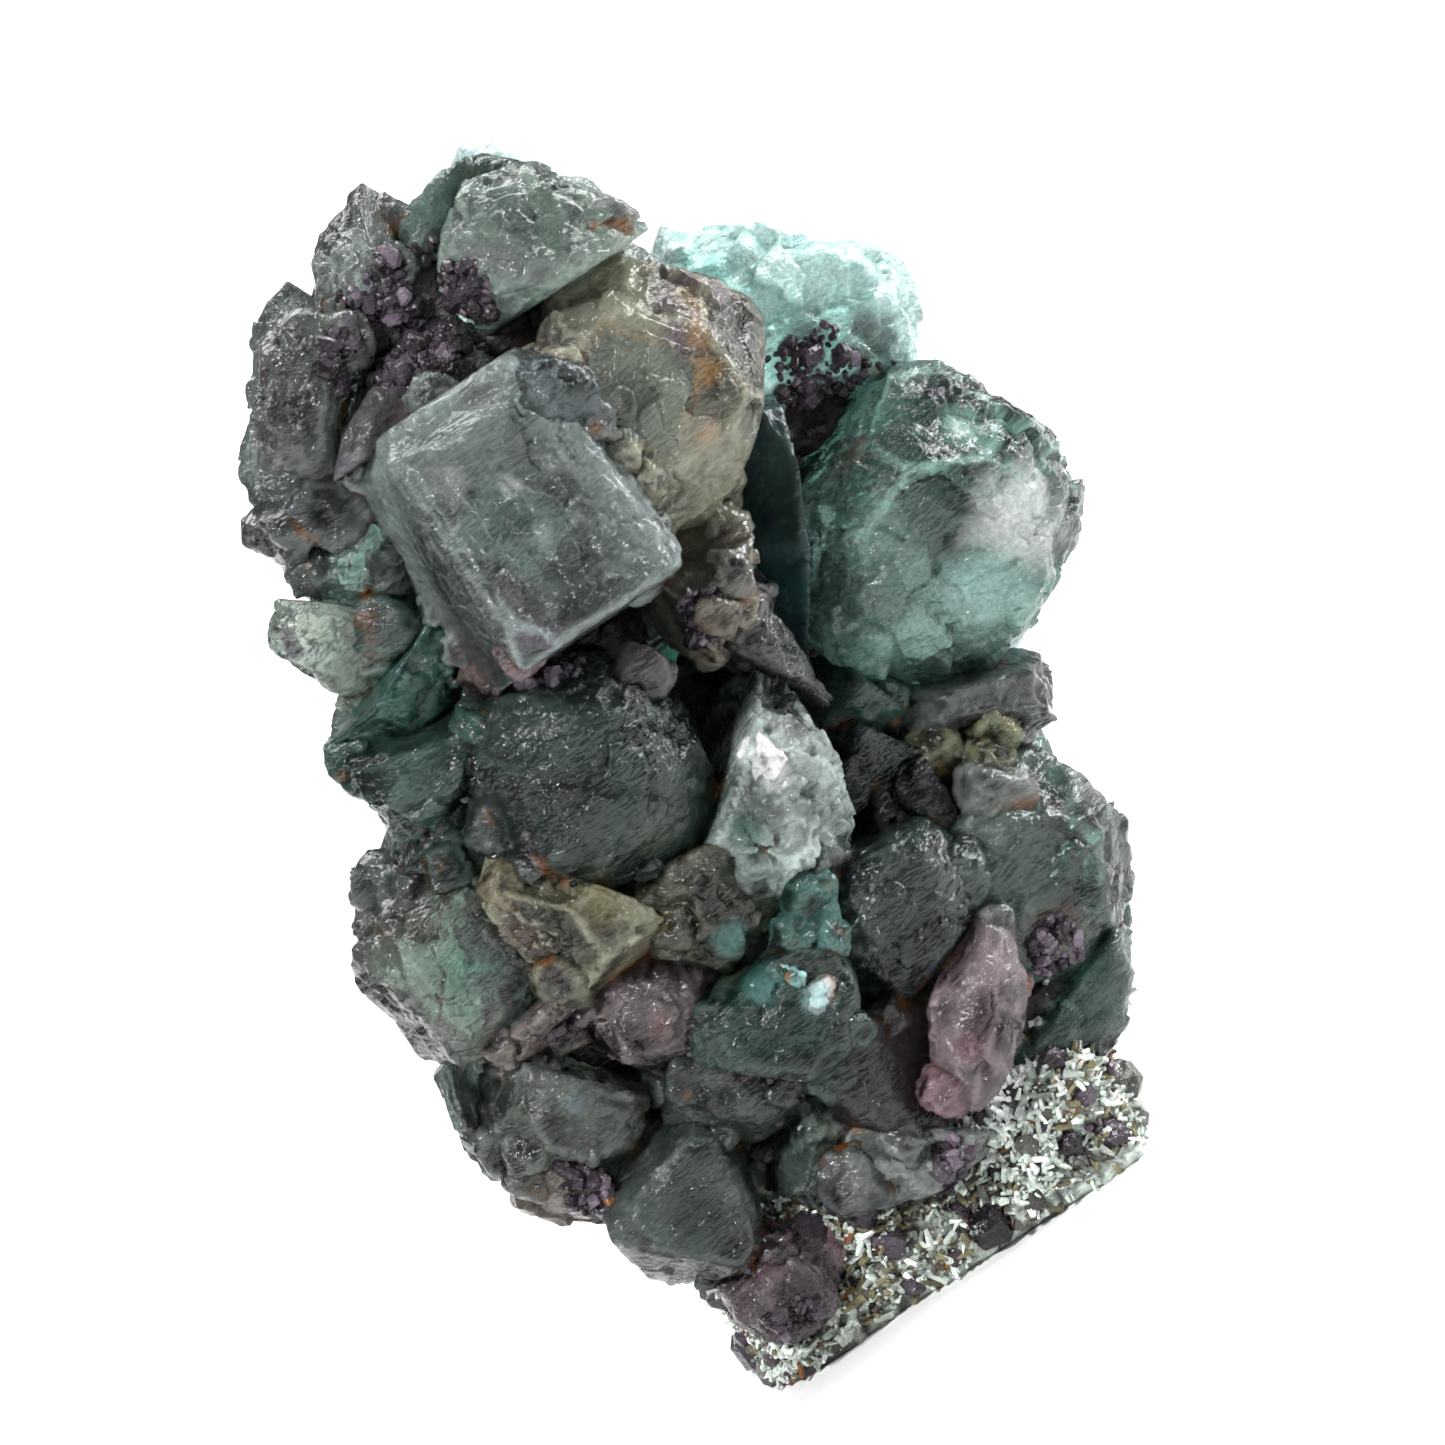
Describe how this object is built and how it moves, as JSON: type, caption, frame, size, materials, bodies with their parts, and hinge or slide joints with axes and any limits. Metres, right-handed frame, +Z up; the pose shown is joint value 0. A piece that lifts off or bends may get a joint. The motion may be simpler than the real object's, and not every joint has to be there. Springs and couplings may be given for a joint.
{
  "type": "fluorite specimen",
  "caption": "Mineral specimen: a leaning cluster of blocky, rounded green to grey fluorite crystals grown on rough matrix, standing on its broken base for display.",
  "frame": {"origin": "middle of the flat underside of the matrix", "axes": "+Z up, out of the base; -Y towards the front, the side with the large rhombic crystal and the lilac one; +X to the right as seen from the front"},
  "size_m": [0.0436, 0.0321, 0.0605],
  "materials": {
    "green_fluorite": "satin",
    "grey_fluorite": "satin, finely etched",
    "amber_fluorite": "satin, iron stained",
    "mint_fluorite": "satin, translucent",
    "lilac_fluorite": "satin, translucent",
    "matrix_rock": "rough, granular"
  },
  "bodies": {
    "root": {"great_rhomb": "grey_fluorite", "great_dome": "green_fluorite", "great_ball": "mint_fluorite", "lilac_bean": "lilac_fluorite", "kite": "grey_fluorite", "amber_block": "amber_fluorite", "crown_plate": "grey_fluorite", "crown_green": "green_fluorite", "crown_rear": "mint_fluorite", "crown_left": "grey_fluorite", "left_cheek": "green_fluorite", "left_shoulder": "grey_fluorite", "left_blade": "grey_fluorite", "ledge_top": "green_fluorite", "left_fold": "grey_fluorite", "amber_lower": "amber_fluorite", "ledge_pale": "grey_fluorite", "ledge_teal": "green_fluorite", "west_corner": "green_fluorite", "flank_upper": "green_fluorite", "flank_mid": "green_fluorite", "flank_low": "grey_fluorite", "silver_break": "green_fluorite", "silver_tooth": "green_fluorite", "dome_skirt": "amber_fluorite", "spine": "grey_fluorite", "grey_dome": "green_fluorite", "teal_block": "green_fluorite", "teal_window": "green_fluorite", "waist_rose": "lilac_fluorite", "waist_crust": "amber_fluorite", "foot_dome": "green_fluorite", "foot_window": "grey_fluorite", "foot_west": "grey_fluorite", "foot_bar": "grey_fluorite", "black_facet": "green_fluorite", "fractured_grey": "grey_fluorite", "pale_green": "green_fluorite", "toe_violet": "lilac_fluorite", "mint_cap": "mint_fluorite", "blue_slab": "green_fluorite", "east_block": "green_fluorite", "under_ball": "grey_fluorite", "east_bead": "amber_fluorite", "green_inner": "green_fluorite", "cave_west": "green_fluorite", "cave_east": "green_fluorite", "east_low": "green_fluorite", "back_heart": "green_fluorite", "back_tower_mid": "grey_fluorite", "back_centre": "green_fluorite", "back_tower_high": "green_fluorite", "back_ball": "mint_fluorite", "back_crown": "grey_fluorite", "back_tower_low": "green_fluorite", "back_east": "green_fluorite", "back_waist": "grey_fluorite", "back_foot_west": "amber_fluorite", "back_foot_east": "green_fluorite", "matrix": "matrix_rock"}
  },
  "joints": []
}
